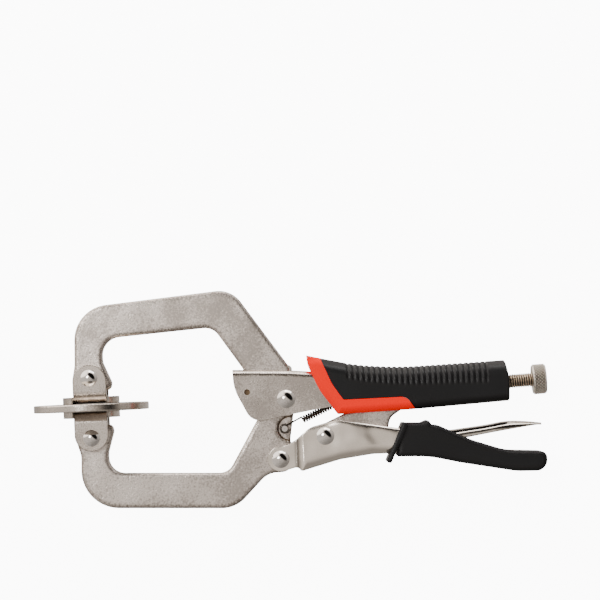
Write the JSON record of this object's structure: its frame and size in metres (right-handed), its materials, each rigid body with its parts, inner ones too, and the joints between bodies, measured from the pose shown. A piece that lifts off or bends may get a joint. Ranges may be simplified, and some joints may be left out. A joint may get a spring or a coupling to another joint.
{
  "type": "locking c clamp",
  "caption": "Locking C clamp with two forged C jaws, swivel pads, one large disc pad, toggle lever, release lever and screw adjustment.",
  "frame": {"origin": "centre of the fixed pad's working face", "axes": "+X from the pads along the handles to the screw knob, -Y the way the fixed pad faces, +Z square to the jaws' flat sides"},
  "size_m": [0.2794, 0.1181, 0.0626],
  "materials": {
    "forged_nickel": "satin nickel plate on forged steel",
    "sheet_nickel": "satin nickel plate on folded sheet",
    "lever_nickel": "smooth satin nickel plate",
    "bright_nickel": "bright nickel plate",
    "pad_nickel": "bright nickel plate",
    "rivet_steel": "polished",
    "weld_bead": "plated weld bead",
    "screw_steel": "warm plated, satin",
    "knob_nickel": "plated, knurled",
    "spring_wire": "dark satin wire",
    "black_grip": "satin moulded rubber",
    "orange_grip": "satin moulded rubber"
  },
  "bodies": {
    "handle": {"fixed_handle": "sheet_nickel", "fixed_jaw": "forged_nickel", "jaw_weld": "weld_bead", "jaw_rivet": "rivet_steel", "spring_anchor_pin": "rivet_steel", "return_spring": "spring_wire", "handle_grip": "black_grip", "grip_accent": "orange_grip", "screw_nut": "screw_steel", "fixed_pad_rivet": "rivet_steel"},
    "jaw": {"moving_jaw": "forged_nickel", "spring_post": "rivet_steel", "lever_rivet": "rivet_steel", "moving_pad_rivet": "rivet_steel"},
    "lever": {"lever_handle": "lever_nickel", "lever_grip": "black_grip", "release_pin": "rivet_steel", "link_rivet": "rivet_steel"},
    "link": {"toggle_link": "forged_nickel"},
    "release": {"release_lever": "bright_nickel"},
    "fixed_pad": {"fixed_swivel_pad": "pad_nickel"},
    "moving_pad": {"moving_swivel_pad": "pad_nickel", "large_disc": "pad_nickel", "disc_rivet": "rivet_steel"},
    "screw_tip": {"thrust_tip": "screw_steel"},
    "screw": {"adjusting_screw": "screw_steel", "screw_knob": "knob_nickel"}
  },
  "joints": [
    {"name": "jaw_swing", "type": "hinge", "parent": "handle", "child": "jaw", "pos_m": [0.1061, -0.0021, 0], "axis": [0, 0, 1], "range_deg": [0, 28], "deforming": ["return_spring"]},
    {"name": "lever_fold", "type": "hinge", "parent": "jaw", "child": "lever", "pos_m": [0.1018, -0.0346, 0], "axis": [0, 0, -1], "range_deg": [0, 76]},
    {"name": "link_fold", "type": "hinge", "parent": "lever", "child": "link", "pos_m": [0.1264, -0.023, 0], "axis": [0, 0, 1], "range_deg": [0, 76]},
    {"name": "release_press", "type": "hinge", "parent": "lever", "child": "release", "pos_m": [0.178, -0.026, 0], "axis": [0, 0, -1], "range_deg": [0, 8]},
    {"name": "fixed_pad_swivel", "type": "hinge", "parent": "handle", "child": "fixed_pad", "pos_m": [0, 0.0138, 0], "axis": [0, 0, 1], "range_deg": [0, 15]},
    {"name": "moving_pad_swivel", "type": "hinge", "parent": "jaw", "child": "moving_pad", "pos_m": [0, -0.0187, 0], "axis": [0, 0, -1], "range_deg": [0, 15]},
    {"name": "screw_travel", "type": "slide", "parent": "handle", "child": "screw_tip", "axis": [0.9993, 0.0372, 0], "range_m": [0, 0.02]},
    {"name": "screw_turn", "type": "hinge", "parent": "screw_tip", "child": "screw", "pos_m": [0.17557, 0.00018, 0], "axis": [0.9993, 0.0372, 0], "range_deg": [0, 5765]}
  ],
  "couplings": [
    {"joint": "lever_fold", "follows": "jaw_swing", "ratio": 2.698},
    {"joint": "link_fold", "follows": "jaw_swing", "ratio": 2.683},
    {"joint": "fixed_pad_swivel", "follows": "jaw_swing", "ratio": 0.5},
    {"joint": "moving_pad_swivel", "follows": "jaw_swing", "ratio": 0.5},
    {"joint": "screw_turn", "follows": "screw_travel", "rad_per_m": 5026.5}
  ]
}
